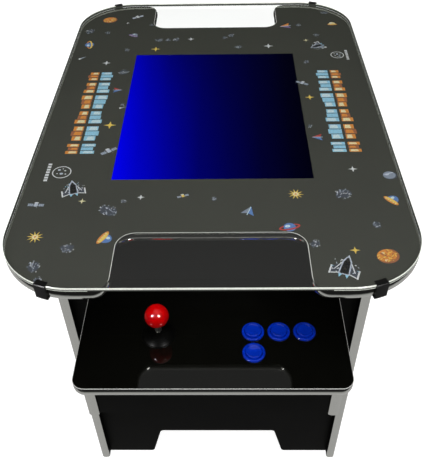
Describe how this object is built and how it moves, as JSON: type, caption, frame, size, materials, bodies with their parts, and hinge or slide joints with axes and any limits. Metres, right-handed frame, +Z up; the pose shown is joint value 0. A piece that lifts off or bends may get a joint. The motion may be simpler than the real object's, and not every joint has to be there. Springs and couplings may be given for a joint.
{
  "type": "cocktail arcade table",
  "caption": "Sit-down arcade table: glass top with flat screen, notched at both ends over a control panel with ball-top stick and push buttons.",
  "frame": {"origin": "on the floor, under the middle of the cabinet", "axes": "+Z up; Y along the long side of the table, player one sits at -Y; +X to that player's right"},
  "size_m": [0.56, 0.9, 0.7317],
  "materials": {
    "black_board": "satin black vinyl over board",
    "bare_wood": "sawn softwood",
    "grey_edge": "silver-grey moulding, soft shine",
    "black_acrylic": "polished, black printed underneath",
    "clear_glass": "polished float glass",
    "printed_film": "black print with small coloured space drawings",
    "screen": "lit picture, blue fading to near black",
    "black_plastic": "moulded, fine texture",
    "zinc_steel": "zinc plated",
    "dark_steel": "dark satin",
    "chrome_metal": "bright",
    "red_plastic": "polished red",
    "blue_plastic": "polished blue",
    "circuit": "green solder mask",
    "wire_cover": "braided sleeve"
  },
  "bodies": {
    "cabinet": {"side_panel_left": "black_board", "side_panel_right": "black_board", "side_trims": "grey_edge", "end_panel_near": "black_board", "end_panel_far": "black_board", "cleats": "bare_wood", "equipment_shelf": "black_board", "box_sides": "black_board", "box_fronts": "black_board", "box_floors": "black_board", "box_trims": "grey_edge", "panel_board_near": "black_board", "panel_board_far": "black_board", "panel_overlay_near": "black_acrylic", "panel_overlay_far": "black_acrylic", "panel_trims": "grey_edge", "stick_plates": "zinc_steel", "stick_housings": "black_plastic", "stick_switches": "black_plastic", "dust_covers": "black_plastic", "button_bezels_near": "blue_plastic", "button_bezels_far": "blue_plastic", "button_nuts": "blue_plastic", "button_switches": "black_plastic", "return_springs": "zinc_steel", "power_supply": "zinc_steel", "game_board": "circuit", "speaker": "black_plastic", "wiring_looms": "wire_cover", "power_inlet": "black_plastic", "lock_housing": "chrome_metal", "hinge_fixed_leaves": "zinc_steel", "body_screws": "zinc_steel"},
    "lid": {"glass_top": "clear_glass", "art_film": "printed_film", "table_board": "black_board", "table_trim": "grey_edge", "glass_clips": "black_plastic", "lcd_screen": "screen", "lcd_case": "black_plastic", "lcd_straps": "zinc_steel", "hinge_moving_leaves": "zinc_steel", "lock_strike": "zinc_steel", "lid_screws": "zinc_steel"},
    "lock_cam": {"lock_cam": "chrome_metal"},
    "rocker": {"power_rocker": "black_plastic"},
    "gimbal_near": {"pivot_ring_near": "zinc_steel"},
    "joystick_near": {"stick_near": "dark_steel", "stick_ball_near": "red_plastic"},
    "button_near_1": {"button_near_1": "blue_plastic"},
    "button_near_2": {"button_near_2": "blue_plastic"},
    "button_near_3": {"button_near_3": "blue_plastic"},
    "button_near_4": {"button_near_4": "blue_plastic"},
    "gimbal_far": {"pivot_ring_far": "zinc_steel"},
    "joystick_far": {"stick_far": "dark_steel", "stick_ball_far": "red_plastic"},
    "button_far_1": {"button_far_1": "blue_plastic"},
    "button_far_2": {"button_far_2": "blue_plastic"},
    "button_far_3": {"button_far_3": "blue_plastic"},
    "button_far_4": {"button_far_4": "blue_plastic"}
  },
  "joints": [
    {"name": "lid_hinge", "type": "hinge", "parent": "cabinet", "child": "lid", "pos_m": [-0.2575, 0, 0.704], "axis": [0, -1, 0], "range_deg": [0, 80]},
    {"name": "lock_turn", "type": "hinge", "parent": "cabinet", "child": "lock_cam", "pos_m": [0.239, 0, 0.686], "axis": [-1, 0, 0], "range_deg": [0, 90]},
    {"name": "power_switch", "type": "hinge", "parent": "cabinet", "child": "rocker", "pos_m": [-0.15, 0.243, 0.173], "axis": [1, 0, 0], "range_deg": [0, 14]},
    {"name": "stick_near_fore_aft", "type": "hinge", "parent": "cabinet", "child": "gimbal_near", "pos_m": [-0.08, -0.357, 0.533], "axis": [1, 0, 0], "range_deg": [-7, 7], "stiffness_Nm_per_rad": 0.8},
    {"name": "stick_near_sideways", "type": "hinge", "parent": "gimbal_near", "child": "joystick_near", "pos_m": [-0.08, -0.357, 0.533], "axis": [0, 1, 0], "range_deg": [-7, 7], "stiffness_Nm_per_rad": 0.8},
    {"name": "press_near_1", "type": "slide", "parent": "cabinet", "child": "button_near_1", "axis": [0, 0, -1], "range_m": [0, 0.003], "stiffness_N_per_m": 150, "springref_m": -0.003},
    {"name": "press_near_2", "type": "slide", "parent": "cabinet", "child": "button_near_2", "axis": [0, 0, -1], "range_m": [0, 0.003], "stiffness_N_per_m": 150, "springref_m": -0.003},
    {"name": "press_near_3", "type": "slide", "parent": "cabinet", "child": "button_near_3", "axis": [0, 0, -1], "range_m": [0, 0.003], "stiffness_N_per_m": 150, "springref_m": -0.003},
    {"name": "press_near_4", "type": "slide", "parent": "cabinet", "child": "button_near_4", "axis": [0, 0, -1], "range_m": [0, 0.003], "stiffness_N_per_m": 150, "springref_m": -0.003},
    {"name": "stick_far_fore_aft", "type": "hinge", "parent": "cabinet", "child": "gimbal_far", "pos_m": [0.08, 0.357, 0.533], "axis": [1, 0, 0], "range_deg": [-7, 7], "stiffness_Nm_per_rad": 0.8},
    {"name": "stick_far_sideways", "type": "hinge", "parent": "gimbal_far", "child": "joystick_far", "pos_m": [0.08, 0.357, 0.533], "axis": [0, 1, 0], "range_deg": [-7, 7], "stiffness_Nm_per_rad": 0.8},
    {"name": "press_far_1", "type": "slide", "parent": "cabinet", "child": "button_far_1", "axis": [0, 0, -1], "range_m": [0, 0.003], "stiffness_N_per_m": 150, "springref_m": -0.003},
    {"name": "press_far_2", "type": "slide", "parent": "cabinet", "child": "button_far_2", "axis": [0, 0, -1], "range_m": [0, 0.003], "stiffness_N_per_m": 150, "springref_m": -0.003},
    {"name": "press_far_3", "type": "slide", "parent": "cabinet", "child": "button_far_3", "axis": [0, 0, -1], "range_m": [0, 0.003], "stiffness_N_per_m": 150, "springref_m": -0.003},
    {"name": "press_far_4", "type": "slide", "parent": "cabinet", "child": "button_far_4", "axis": [0, 0, -1], "range_m": [0, 0.003], "stiffness_N_per_m": 150, "springref_m": -0.003}
  ]
}
